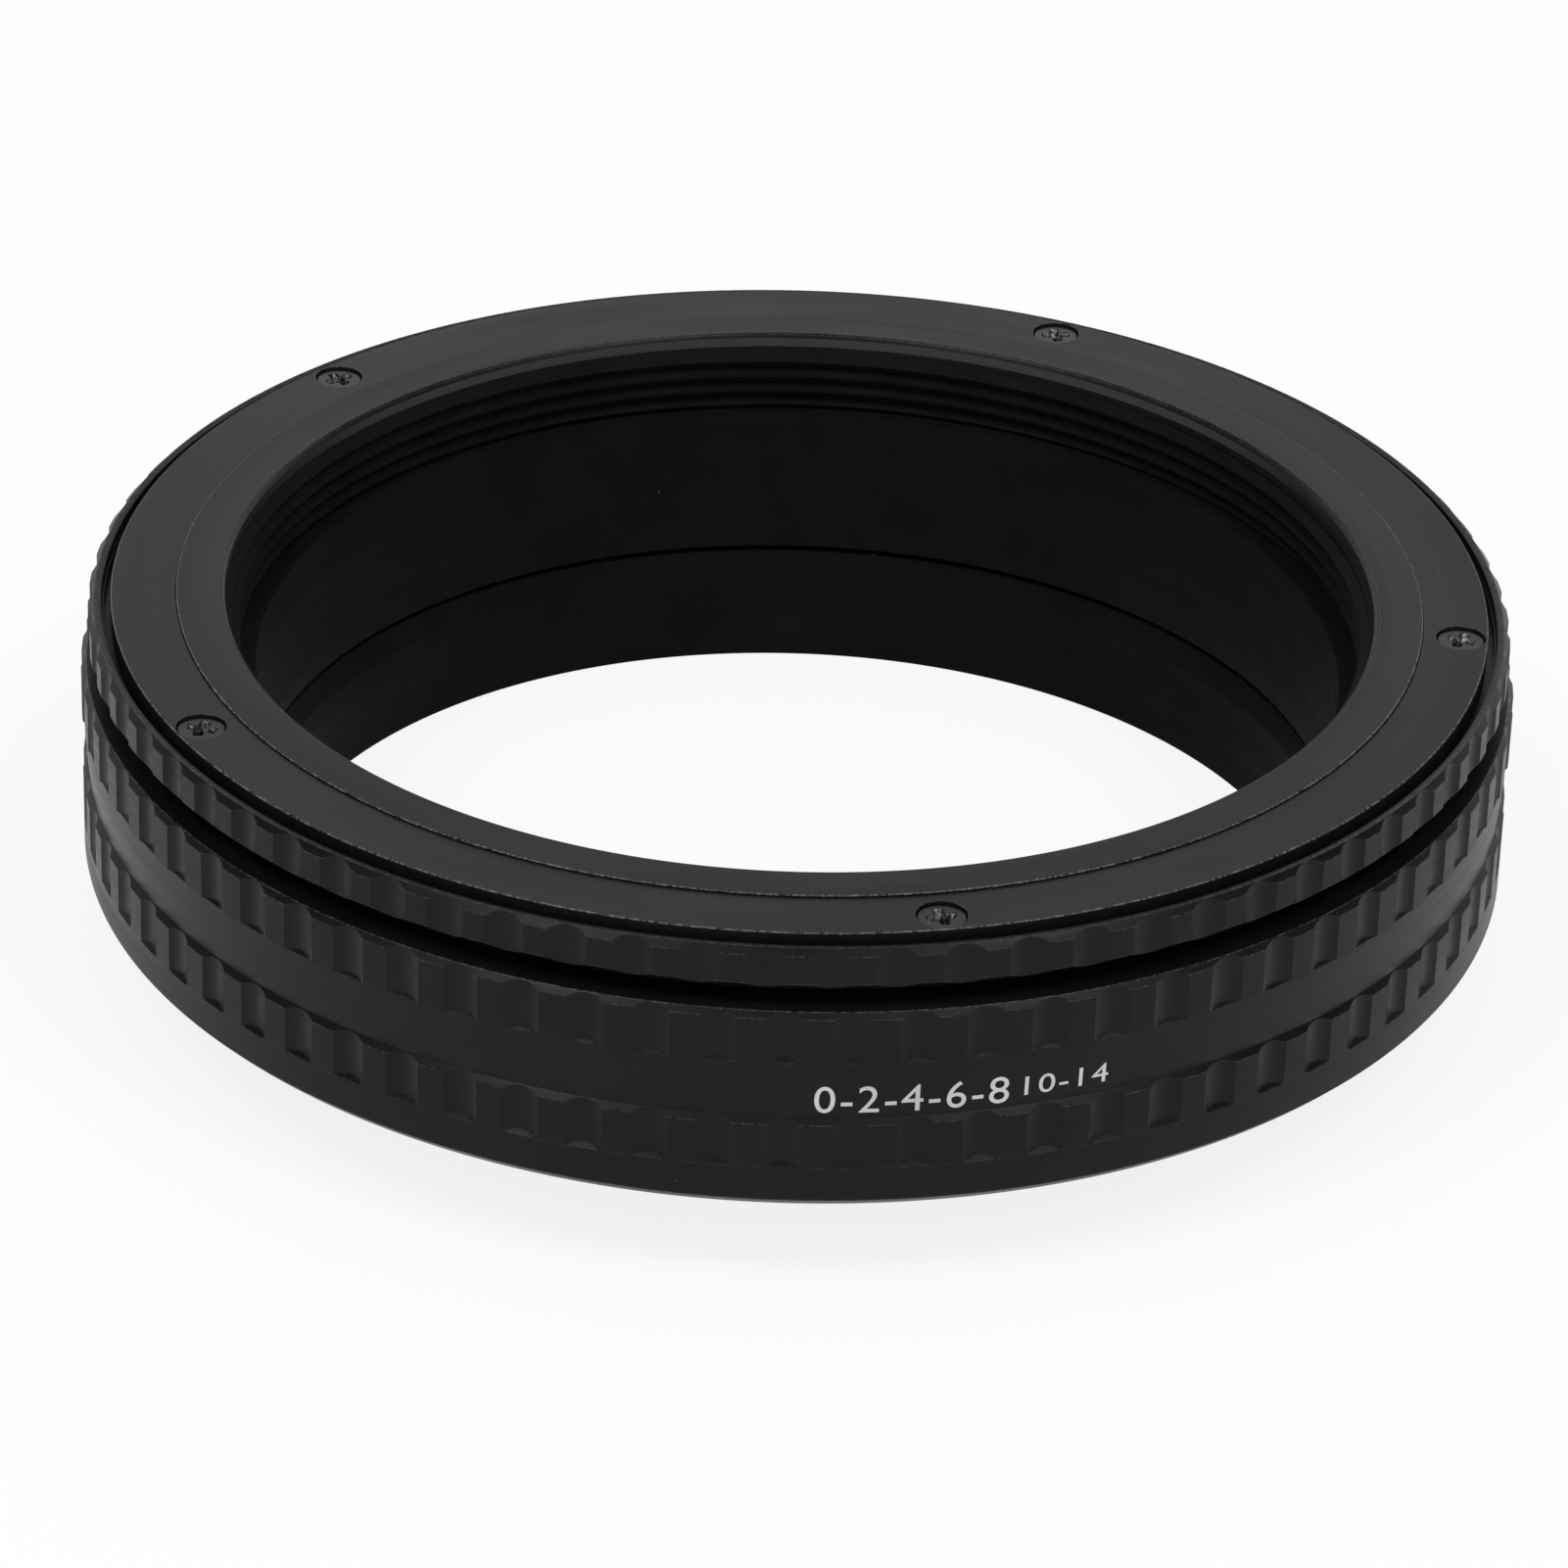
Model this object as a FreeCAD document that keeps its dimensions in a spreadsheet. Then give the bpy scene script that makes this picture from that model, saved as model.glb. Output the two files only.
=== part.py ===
import FreeCAD, Part
import os

import Sketcher

# Double-helicoid adapter with a female M65 x 1 front and a male M65 x 1 rear.
# The origin is on the axis at the end of the rear thread, +Z runs towards the front rim,
# and -Y is the side seen in the photograph. The piece is modelled closed, 17 mm long.

DOC = FreeCAD.newDocument("helicoid_adapter")
SHEET = DOC.addObject("Spreadsheet::Sheet", "dims")

SIZES = (
    # The standard thread at both ends, and the length from front rim to rear flange
    ("thread_radius", 32.5),
    ("thread_allowance", 0.05),
    ("closed_length", 17.0),
    ("rear_thread_length", 4.0),
    ("front_thread_depth", 4.7),
    # Clearances: running is radial between pieces that slide, seat is between fixed ones,
    # step is between a thread's two cores and float is between faces that meet end to end
    ("running_gap", 0.1),
    ("seat_gap", 0.05),
    ("step_gap", 0.3),
    ("float_gap", 0.2),
    # Focus ring: the rows and bands on its outside are shares of its height
    ("grip_wall", 2.75),
    ("grip_lift", 0.9),
    ("grip_foot_chamfer", 0.5),
    ("grip_top_chamfer", 0.36),
    ("upper_row_share", 0.2533),
    ("band_share", 0.2758),
    ("foot_band_share", 0.2083),
    ("band_step", 0.1),
    ("band_taper", 0.38),
    ("band_fillet", 0.6),
    ("web_thickness", 1.2),
    # Scallops
    ("flute_count", 72),
    ("flute_radius", 2.15),
    ("flute_depth", 0.28),
    ("front_flute_depth", 0.33),
    ("front_flute_phase", 3.3),
    # Front grip, its plate and the ring with the front thread
    ("front_grip_inset", 0.45),
    ("front_grip_drop", 0.42),
    ("front_grip_height", 2.08),
    ("front_grip_chamfer", 0.43),
    ("plate_inset", 1.1),
    ("plate_gap", 0.22),
    ("plate_drop", 0.13),
    ("plate_thickness", 1.5),
    ("plate_edge", 0.1),
    ("rim_width", 2.95),
    ("clamp_width", 0.8),
    ("mount_wall", 1.0),
    ("mount_lead", 0.5),
    # Front barrel
    ("barrel_wall", 1.75),
    ("barrel_ledge", 1.55),
    ("barrel_flange_inset", 1.5),
    ("barrel_flange_thickness", 1.2),
    ("barrel_edge", 0.3),
    # Rear mount and its collar
    ("rear_flange_thickness", 1.0),
    ("rear_wall", 1.75),
    ("thread_chamfer", 0.5),
    ("undercut", 0.6),
    ("hub_width", 0.55),
    ("hub_height", 3.0),
    ("hub_lip", 0.5),
    ("hub_funnel", 1.5),
    ("collar_wall", 1.3),
    ("collar_floor", 1.1),
    # Inner sleeve, guide ring and keys
    ("sleeve_wall", 1.1),
    ("sleeve_flange_inset", 0.6),
    ("sleeve_flange_thickness", 0.8),
    ("sleeve_screw_inset", 1.15),
    ("guide_wall", 0.7),
    ("guide_floor", 0.9),
    ("guide_height", 3.5),
    ("guide_count", 3),
    ("guide_phase", 60.0),
    ("lug_width", 6.0),
    ("lug_depth", 0.6),
    ("lug_height", 1.3),
    ("bayonet_width", 8.0),
    ("bayonet_depth", 0.55),
    ("bayonet_height", 0.8),
    ("key_width", 5.0),
    ("key_depth", 0.95),
    ("key_foot", 0.6),
    ("key_roof", 0.4),
    ("key_screw_inset", 1.6),
    ("turn_range", 270.0),
    ("stop_margin", 3.0),
    ("stop_pin_radius", 0.5),
    ("stop_pin_rise", 0.4),
    # Screws
    ("plate_screw_inset", 1.73),
    ("plate_screw_phase", 282.3),
    ("plate_screw_count", 5),
    ("plate_head_radius", 1.3),
    ("plate_shank_radius", 0.78),
    ("plate_screw_length", 3.2),
    ("small_screw_count", 6),
    ("small_head_radius", 0.75),
    ("small_shank_radius", 0.4),
    ("small_screw_length", 1.6),
    ("screw_sink", 0.1),
    ("head_gap", 0.03),
)


def fill_sheet():
    """Write each size as a plain number in column B, with its name in column A and as alias."""
    for row, (name, value) in enumerate(SIZES, start=1):
        SHEET.set(f"A{row}", name)
        SHEET.set(f"B{row}", str(value))
        SHEET.setAlias(f"B{row}", name)
    DOC.recompute()


class Size:
    """A length that keeps its value together with the sheet expression behind it."""

    def __init__(self, text, value):
        self.text = text
        self.value = value

    def __add__(self, other):
        other = as_size(other)
        return Size(f"({self.text} + {other.text})", self.value + other.value)

    def __sub__(self, other):
        other = as_size(other)
        return Size(f"({self.text} - {other.text})", self.value - other.value)

    def __mul__(self, factor):
        return Size(f"({self.text} * {factor})", self.value * factor)

    def __neg__(self):
        return Size(f"(0 - {self.text})", -self.value)

    def share(self, name):
        part = dim(name)
        return Size(f"({self.text} * {part.text})", self.value * part.value)


def as_size(thing):
    """Take a bare number as a size too."""
    if isinstance(thing, Size):
        return thing
    return Size(str(thing), float(thing))


def dim(name):
    """The size with this name in the sheet."""
    return Size(f"dims.{name}", float(SHEET.get(name)))


def bind(thing, path, size):
    """Set a property from a size and keep it tied to the sheet."""
    thing.setExpression(path, as_size(size).text)


def datum(body, role):
    """The body's own origin plane or axis with this role."""
    for feature in body.Origin.OriginFeatures:
        if feature.Role == role:
            return feature
    raise ValueError(role)


def new_body(label):
    """An empty body whose label names the exported file."""
    body = DOC.addObject("PartDesign::Body", label)
    body.Label = label
    return body


def new_sketch(body, name, plane, height=None, turn=None):
    """A sketch on one of the body's planes, moved along its normal by height and turned about Z."""
    sketch = body.newObject("Sketcher::SketchObject", name)
    sketch.AttachmentSupport = (datum(body, plane), [""])
    sketch.MapMode = "FlatFace"
    if turn is not None:
        upright = FreeCAD.Vector(0, 0, 1) if plane == "XY_Plane" else FreeCAD.Vector(0, 1, 0)
        spin = FreeCAD.Rotation(upright, turn.value)
        sketch.AttachmentOffset = FreeCAD.Placement(FreeCAD.Vector(0, 0, 0), spin)
        bind(sketch, "AttachmentOffset.Rotation.Angle", turn)
    if height is not None:
        bind(sketch, "AttachmentOffset.Base.z", height)
    return sketch


def hold(sketch, kind, element, point, size):
    """Keep one point of the sketch at a signed distance from the origin along one direction."""
    size = as_size(size)
    if abs(size.value) < 1e-9:
        axis = -2 if kind == "DistanceX" else -1
        sketch.addConstraint(Sketcher.Constraint("PointOnObject", element, point, axis))
        return
    if size.value > 0:
        ends = (-1, 1, element, point)
    else:
        ends = (element, point, -1, 1)
        size = -size
    index = sketch.addConstraint(Sketcher.Constraint(kind, *ends, size.value))
    bind(sketch, f"Constraints[{index}]", size)


def outline(sketch, points):
    """A closed outline through points, each held by its two sizes."""
    points = [(as_size(across), as_size(up)) for across, up in points]
    first = sketch.GeometryCount
    count = len(points)
    for i, (across, up) in enumerate(points):
        after = points[(i + 1) % count]
        start = FreeCAD.Vector(across.value, up.value, 0)
        end = FreeCAD.Vector(after[0].value, after[1].value, 0)
        sketch.addGeometry(Part.LineSegment(start, end))
    for i in range(count):
        after = first + (i + 1) % count
        sketch.addConstraint(Sketcher.Constraint("Coincident", first + i, 2, after, 1))
    for i, (across, up) in enumerate(points):
        hold(sketch, "DistanceX", first + i, 1, across)
        hold(sketch, "DistanceY", first + i, 1, up)


def circle(sketch, across, up, radius):
    """A circle held by its centre and its radius."""
    across, up, radius = as_size(across), as_size(up), as_size(radius)
    centre = FreeCAD.Vector(across.value, up.value, 0)
    index = sketch.addGeometry(Part.Circle(centre, FreeCAD.Vector(0, 0, 1), radius.value))
    hold(sketch, "DistanceX", index, 3, across)
    hold(sketch, "DistanceY", index, 3, up)
    size = sketch.addConstraint(Sketcher.Constraint("Radius", index, radius.value))
    bind(sketch, f"Constraints[{size}]", radius)


def box_outline(sketch, near, far, width):
    """A rectangle from near to far along X and as wide as width about the X axis."""
    half = as_size(width) * 0.5
    outline(sketch, [(near, -half), (far, -half), (far, half), (near, half)])


def revolve(body, name, points, turn=None, angle=None):
    """Turn a section given as (radius, height) points about Z, all round or by angle."""
    sketch = new_sketch(body, f"{name}_section", "XZ_Plane", turn=turn)
    outline(sketch, points)
    feature = body.newObject("PartDesign::Revolution", f"{name}_turned")
    feature.Profile = sketch
    feature.ReferenceAxis = (sketch, ["V_Axis"])
    feature.Angle = 360
    if angle is not None:
        bind(feature, "Angle", angle)
    body.Tip = feature
    return feature


def turned(label, points):
    """A body turned about Z from a half section."""
    body = new_body(label)
    revolve(body, label, points)
    return body


def pad(body, sketch, length):
    """Add the sketch's outline upwards by length."""
    feature = body.newObject("PartDesign::Pad", f"{sketch.Name}_pad")
    feature.Profile = sketch
    bind(feature, "Length", length)
    return feature


def pocket(body, sketch, depth):
    """Cut the sketch's outline downwards by depth."""
    feature = body.newObject("PartDesign::Pocket", f"{sketch.Name}_cut")
    feature.Profile = sketch
    bind(feature, "Length", depth)
    return feature


def around(body, feature, count, angle=360):
    """Repeat a feature about Z."""
    pattern = body.newObject("PartDesign::PolarPattern", f"{feature.Name}_around")
    pattern.Originals = [feature]
    pattern.Axis = (datum(body, "Z_Axis"), [""])
    pattern.Angle = angle
    if isinstance(count, Size):
        bind(pattern, "Occurrences", count)
    else:
        pattern.Occurrences = count
    body.Tip = pattern
    return pattern


def drilled(body, name, height, depth, place, radius, count, turn=None):
    """A circle of plain holes from height downwards, each with its centre at radius place."""
    sketch = new_sketch(body, name, "XY_Plane", height, turn)
    circle(sketch, place, 0, radius)
    return around(body, pocket(body, sketch, depth), count)


def sunk_holes(body, name, height, depth, place, shank, head, count, turn=None, from_below=False):
    """A circle of countersunk holes with room for screws that sit just below the face."""
    sketch = new_sketch(body, name, "XY_Plane", height, turn)
    circle(sketch, place, 0, shank)
    DOC.recompute()
    feature = body.newObject("PartDesign::Hole", f"{name}_bored")
    feature.Profile = sketch
    feature.ThreadType = "None"
    feature.DepthType = "Dimension"
    feature.DrillPoint = "Flat"
    feature.HoleCutType = "Countersink"
    feature.HoleCutCustomValues = True
    feature.HoleCutCountersinkAngle = 90
    feature.Reversed = from_below
    bind(feature, "Diameter", shank * 2)
    bind(feature, "HoleCutDiameter", head * 2)
    bind(feature, "Depth", depth)
    return around(body, feature, count)


def ring_edge(feature, radius, height):
    """Name of the circular edge with this radius at this height."""
    for i, edge in enumerate(feature.Shape.Edges, start=1):
        if not isinstance(edge.Curve, Part.Circle):
            continue
        same_radius = abs(edge.Curve.Radius - radius.value) < 1e-4
        if same_radius and abs(edge.Curve.Center.z - height.value) < 1e-4:
            return f"Edge{i}"
    raise ValueError("no such edge")


def scallops(body, name, foot, length, radius, depth, turn=None):
    """Cut a row of upright round scallops into a rim, open at the top and flat-ended at foot."""
    sketch = new_sketch(body, name, "XY_Plane", foot + length, turn)
    reach = radius - depth + dim("flute_radius")
    circle(sketch, 0, -reach, dim("flute_radius"))
    return around(body, pocket(body, sketch, length), dim("flute_count"))


fill_sheet()

# Radii that follow one another outwards, from the front thread to the focus ring
front_thread_radius = dim("thread_radius") + dim("thread_allowance")
bore_radius = front_thread_radius - dim("barrel_ledge")
barrel_radius = front_thread_radius + dim("barrel_wall")
key_bore = barrel_radius - dim("key_depth")
sleeve_bore = barrel_radius + dim("step_gap")
sleeve_radius = sleeve_bore + dim("sleeve_wall")
guide_bore = sleeve_radius + dim("running_gap")
guide_radius = guide_bore + dim("guide_wall")
collar_bore = guide_radius + dim("running_gap")
collar_radius = collar_bore + dim("collar_wall")
grip_bore = collar_radius + dim("step_gap")
grip_radius = grip_bore + dim("grip_wall")
sleeve_flange_radius = grip_bore - dim("sleeve_flange_inset")

# Radii of the front group, inwards from its grip and outwards from its thread
front_grip_radius = grip_radius - dim("front_grip_inset")
plate_radius = front_grip_radius - dim("plate_inset")
barrel_flange_radius = front_grip_radius - dim("barrel_flange_inset")
plate_screw_circle = plate_radius - dim("plate_screw_inset")
mount_radius = front_thread_radius + dim("mount_wall")
rim_radius = front_thread_radius + dim("rim_width")
clamp_radius = rim_radius + dim("clamp_width")

# Radii of the rear mount, on both sides of its thread
rear_thread_radius = dim("thread_radius") - dim("thread_allowance")
rear_bore = rear_thread_radius - dim("rear_wall")
hub_radius = rear_thread_radius + dim("hub_width")

# Heights of the rear group and the guide ring, upwards
rear_face = dim("rear_thread_length")
collar_foot = rear_face + dim("rear_flange_thickness")
collar_ledge = collar_foot + dim("collar_floor")
hub_top = rear_face + dim("hub_height")
guide_foot = collar_ledge + dim("float_gap")
guide_ledge = guide_foot + dim("guide_floor")
guide_top = guide_foot + dim("guide_height")
barrel_foot = guide_ledge + dim("float_gap")
key_foot_top = guide_ledge + dim("key_foot")
sleeve_foot = key_foot_top + dim("float_gap")
pin_height = guide_top + dim("stop_pin_rise") + dim("stop_pin_radius")

# Heights of the front group, downwards from its rim
front_face = rear_face + dim("closed_length")
plate_top = front_face - dim("plate_drop")
plate_foot = plate_top - dim("plate_thickness")
front_grip_top = front_face - dim("front_grip_drop")
front_grip_foot = front_grip_top - dim("front_grip_height")
barrel_flange_foot = front_grip_foot - dim("barrel_flange_thickness")
thread_ledge = front_face - dim("front_thread_depth")
key_top = thread_ledge - dim("key_roof")

# Heights of the focus ring, which fills the room under the front group
grip_foot = rear_face + dim("grip_lift")
grip_top = barrel_flange_foot - dim("float_gap") * 2
grip_height = grip_top - grip_foot
sleeve_shelf = grip_top - dim("sleeve_flange_thickness")
web_foot = sleeve_shelf - dim("web_thickness")
collar_top = web_foot - dim("step_gap")

# Small screws: the circles they stand on, and the holes for their shanks and heads
mount_screw_circle = (hub_radius + collar_bore) * 0.5
sleeve_screw_circle = sleeve_flange_radius - dim("sleeve_screw_inset")
key_screw_circle = key_bore + dim("key_screw_inset")
small_hole = dim("small_shank_radius") + dim("seat_gap")
small_sink = dim("small_head_radius") + dim("screw_sink") + dim("head_gap")
plate_hole = dim("plate_shank_radius") + dim("seat_gap")
plate_sink = dim("plate_head_radius") + dim("screw_sink") + dim("head_gap")


def rear_mount():
    """Turned flange with the male rear thread's body, a locating hub and the stepped bore."""
    thread = rear_thread_radius
    relief = rear_face - dim("undercut")
    points = [
        (rear_bore, 0),
        (thread - dim("thread_chamfer"), 0),
        (thread, dim("thread_chamfer")),
        (thread, relief),
        (thread - dim("undercut"), relief),
        (thread + dim("seat_gap"), rear_face),
        (collar_radius, rear_face),
        (collar_radius, collar_foot),
        (hub_radius, collar_foot),
        (hub_radius, hub_top),
        (rear_bore + dim("hub_lip"), hub_top),
        (rear_bore, hub_top - dim("hub_funnel")),
    ]
    body = turned("rear_mount", points)
    depth = dim("rear_flange_thickness") * 1.5
    count = dim("small_screw_count")
    sunk_holes(body, "mount_hole", rear_face, depth, mount_screw_circle, small_hole, small_sink,
               count, from_below=True)


def base_helicoid():
    """Threaded collar on the rear mount, with straight slots for the guide ring's lugs."""
    bore = hub_radius + dim("seat_gap")
    points = [
        (bore, collar_foot),
        (collar_radius, collar_foot),
        (collar_radius, collar_top),
        (collar_bore, collar_top),
        (collar_bore, collar_ledge),
        (bore, collar_ledge),
    ]
    body = turned("base_helicoid", points)
    slot = new_sketch(body, "lug_slot", "XY_Plane", collar_top, dim("guide_phase"))
    reach = guide_radius + dim("lug_depth") + dim("running_gap")
    box_outline(slot, guide_bore, reach, dim("lug_width") + dim("running_gap") * 2)
    around(body, pocket(body, slot, collar_top - collar_ledge), dim("guide_count"))
    depth = dim("collar_floor") - dim("float_gap")
    count = dim("small_screw_count")
    drilled(body, "collar_tap", collar_foot + depth, depth, mount_screw_circle, small_hole, count)


def guide_ring():
    """Floating ring that rises with the focus ring: lugs outside, bayonet lugs and keys inside."""
    bore = key_bore - dim("seat_gap")
    points = [
        (bore, guide_foot),
        (guide_radius, guide_foot),
        (guide_radius, guide_top),
        (guide_bore, guide_top),
        (guide_bore, guide_ledge),
        (bore, guide_ledge),
    ]
    body = turned("guide_ring", points)
    middle = (guide_bore + guide_radius) * 0.5
    lug = new_sketch(body, "outer_lug", "XY_Plane", guide_foot, dim("guide_phase"))
    box_outline(lug, middle, guide_radius + dim("lug_depth"), dim("lug_width"))
    around(body, pad(body, lug, dim("lug_height")), dim("guide_count"))
    height = dim("bayonet_height")
    bayonet = new_sketch(body, "bayonet_lug", "XY_Plane", guide_top - height, dim("guide_phase"))
    box_outline(bayonet, guide_bore - dim("bayonet_depth"), middle, dim("bayonet_width"))
    around(body, pad(body, bayonet, height), dim("guide_count"))
    depth = dim("guide_floor")
    count = dim("guide_count")
    drilled(body, "key_tap", guide_ledge, depth, key_screw_circle, small_hole, count)
    # The tooth fills the arc that the stop pin doesn't travel, and starts just short of the pin.
    low = guide_top - dim("stop_pin_rise")
    top = pin_height + dim("stop_pin_radius")
    tooth = [(guide_bore, low), (guide_radius, low), (guide_radius, top), (guide_bore, top)]
    arc = as_size(360) - dim("turn_range") - dim("stop_margin") * 2
    revolve(body, "stop_tooth", tooth, -(arc + dim("stop_margin")), arc)


def key_blank():
    """One brass tongue: an upright bar that fills the barrel's slot, on a short drilled foot."""
    body = new_body("guide_key")
    heel = guide_bore - dim("float_gap")
    points = [
        (key_bore, guide_ledge),
        (heel, guide_ledge),
        (heel, key_foot_top),
        (barrel_radius, key_foot_top),
        (barrel_radius, key_top),
        (key_bore, key_top),
    ]
    side = new_sketch(body, "key_side", "XZ_Plane")
    outline(side, points)
    bar = pad(body, side, dim("key_width"))
    bar.Midplane = True
    sketch = new_sketch(body, "key_hole", "XY_Plane", key_foot_top)
    circle(sketch, key_screw_circle, 0, small_hole)
    body.Tip = pocket(body, sketch, dim("key_foot") * 1.5)
    return body


def helicoid_sleeve():
    """Inner sleeve of the focus ring: flange at the top, bayonet groove near its lower end."""
    groove_top = guide_top + dim("running_gap")
    groove_foot = guide_top - dim("bayonet_height") - dim("running_gap")
    groove = guide_bore - dim("bayonet_depth") - dim("running_gap")
    points = [
        (sleeve_bore, sleeve_foot),
        (sleeve_radius, sleeve_foot),
        (sleeve_radius, groove_foot),
        (groove, groove_foot),
        (groove, groove_top),
        (sleeve_radius, groove_top),
        (sleeve_radius, sleeve_shelf),
        (sleeve_flange_radius, sleeve_shelf),
        (sleeve_flange_radius, grip_top),
        (sleeve_bore, grip_top),
    ]
    body = turned("helicoid_sleeve", points)
    entry = new_sketch(body, "bayonet_entry", "XY_Plane", groove_foot, dim("guide_phase"))
    box_outline(entry, groove, guide_radius, dim("bayonet_width") + dim("step_gap") * 2)
    around(body, pocket(body, entry, groove_foot - sleeve_foot), dim("guide_count"))
    depth = dim("sleeve_flange_thickness") * 1.5
    count = dim("small_screw_count")
    sunk_holes(body, "sleeve_hole", grip_top, depth, sleeve_screw_circle, small_hole, small_sink,
               count)
    seat = new_sketch(body, "pin_seat", "YZ_Plane", bore_radius)
    circle(seat, 0, pin_height, dim("stop_pin_radius") + dim("seat_gap"))
    cut = pocket(body, seat, guide_radius - bore_radius)
    cut.Reversed = True
    body.Tip = cut


def stop_pin():
    """Short pin across the sleeve's wall, standing out beside the guide ring's tooth."""
    pin = DOC.addObject("Part::Cylinder", "stop_pin")
    pin.Label = "stop_pin"
    across = FreeCAD.Rotation(FreeCAD.Vector(0, 1, 0), 90)
    pin.Placement = FreeCAD.Placement(FreeCAD.Vector(0, 0, 0), across)
    start = sleeve_bore + dim("running_gap")
    bind(pin, "Radius", dim("stop_pin_radius"))
    bind(pin, "Height", guide_radius - start - dim("float_gap"))
    bind(pin, "Placement.Base.x", start)
    bind(pin, "Placement.Base.z", pin_height)


def focus_ring():
    """Wide grip ring: two rows of scallops, a tapered band between them and a web inside."""
    grip = grip_radius
    foot = dim("grip_foot_chamfer")
    top = dim("grip_top_chamfer")
    upper_row = grip_height.share("upper_row_share")
    upper_foot = grip_top - upper_row
    lower_top = upper_foot - grip_height.share("band_share")
    neck = sleeve_flange_radius + dim("seat_gap")
    web = sleeve_radius + dim("seat_gap")
    groove = dim("band_step") + dim("band_taper")
    points = [
        (grip_bore, grip_foot),
        (grip - foot, grip_foot),
        (grip, grip_foot + foot),
        (grip, lower_top - groove),
        (grip - groove, lower_top),
        (grip - dim("band_step"), upper_foot),
        (grip, upper_foot),
        (grip, grip_top - top),
        (grip - top, grip_top),
        (neck, grip_top),
        (neck, sleeve_shelf),
        (web, sleeve_shelf),
        (web, web_foot),
        (grip_bore, web_foot),
    ]
    body = turned("focus_ring", points)
    DOC.recompute()
    ring = body.Tip
    fillet = body.newObject("PartDesign::Fillet", "band_root")
    fillet.Base = (ring, [ring_edge(ring, grip - groove, lower_top)])
    bind(fillet, "Radius", dim("band_fillet"))
    body.Tip = fillet
    depth = dim("flute_depth")
    scallops(body, "upper_flute", upper_foot, upper_row * 1.2, grip, depth)
    lower_foot = grip_foot + grip_height.share("foot_band_share")
    length = lower_top - lower_foot + dim("band_step")
    scallops(body, "lower_flute", lower_foot, length, grip, depth)
    depth = dim("web_thickness") - dim("float_gap")
    count = dim("small_screw_count")
    drilled(body, "web_tap", sleeve_shelf, depth, sleeve_screw_circle, small_hole, count)


def front_barrel():
    """Sliding barrel: smooth bore, slots for the keys outside and a flange that carries the grip."""
    counterbore = mount_radius + dim("seat_gap")
    edge = dim("barrel_edge")
    points = [
        (bore_radius, barrel_foot),
        (barrel_radius - edge, barrel_foot),
        (barrel_radius, barrel_foot + edge),
        (barrel_radius, barrel_flange_foot),
        (barrel_flange_radius, barrel_flange_foot),
        (barrel_flange_radius, front_grip_foot),
        (counterbore, front_grip_foot),
        (counterbore, thread_ledge),
        (bore_radius, thread_ledge),
    ]
    body = turned("front_barrel", points)
    gap = dim("running_gap")
    slot = new_sketch(body, "key_slot", "XY_Plane", key_top + gap)
    box_outline(slot, key_bore - gap, sleeve_bore, dim("key_width") + gap * 2)
    around(body, pocket(body, slot, key_top + gap - barrel_foot), dim("guide_count"))
    depth = dim("barrel_flange_thickness") * 1.5
    count = dim("plate_screw_count")
    drilled(body, "flange_tap", front_grip_foot, depth, plate_screw_circle, plate_hole, count,
            dim("plate_screw_phase"))


def mount_ring():
    """Ring with the female front thread's body, its rim proud of the plate that clamps it."""
    thread = front_thread_radius
    lead = dim("mount_lead")
    points = [
        (thread, thread_ledge),
        (mount_radius, thread_ledge),
        (mount_radius, front_grip_foot),
        (clamp_radius, front_grip_foot),
        (clamp_radius, plate_foot),
        (rim_radius, plate_foot),
        (rim_radius, front_face),
        (thread + lead, front_face),
        (thread, front_face - lead),
    ]
    turned("mount_ring", points)


def front_grip_ring():
    """Thin scalloped ring round the plate, held between the plate and the barrel's flange."""
    grip = front_grip_radius
    chamfer = dim("front_grip_chamfer")
    bore = clamp_radius + dim("seat_gap")
    wall = plate_radius + dim("plate_gap")
    points = [
        (bore, front_grip_foot),
        (grip, front_grip_foot),
        (grip, front_grip_top - chamfer),
        (grip - chamfer, front_grip_top),
        (wall, front_grip_top),
        (wall, plate_foot),
        (bore, plate_foot),
    ]
    body = turned("front_grip_ring", points)
    foot = front_grip_foot - dim("float_gap")
    length = dim("front_grip_height") * 1.5
    depth = dim("front_flute_depth")
    scallops(body, "front_flute", foot, length, grip, depth, dim("front_flute_phase"))
    depth = (plate_foot - front_grip_foot) * 1.5
    count = dim("plate_screw_count")
    drilled(body, "web_hole", plate_foot, depth, plate_screw_circle, plate_hole, count,
            dim("plate_screw_phase"))


def top_plate():
    """Flat clamping ring with a circle of countersunk holes."""
    bore = rim_radius + dim("seat_gap")
    edge = dim("plate_edge")
    points = [
        (bore, plate_foot),
        (plate_radius, plate_foot),
        (plate_radius, plate_top - edge),
        (plate_radius - edge, plate_top),
        (bore, plate_top),
    ]
    body = turned("top_plate", points)
    depth = dim("plate_thickness") * 1.5
    count = dim("plate_screw_count")
    sunk_holes(body, "plate_hole", plate_top, depth, plate_screw_circle, plate_hole, plate_sink,
               count, dim("plate_screw_phase"))


def screw_blank(label, points, head):
    """One screw turned from its half section, its top at the origin, with a cross recess."""
    body = turned(label, points)
    slot = new_sketch(body, f"{label}_slot", "XY_Plane")
    box_outline(slot, head * -0.56, head * 0.56, head * 0.26)
    around(body, pocket(body, slot, head * 0.36), 2, 90)
    return body


def countersunk_section(head, shank, length):
    """Half section of a countersunk screw: a 90 degree cone and the shank."""
    return [(0, 0), (head, 0), (shank, shank - head), (shank, -length), (0, -length)]


def grub_section(shank, length):
    """Half section of a headless screw."""
    return [(0, 0), (shank, 0), (shank, -length), (0, -length)]


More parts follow.
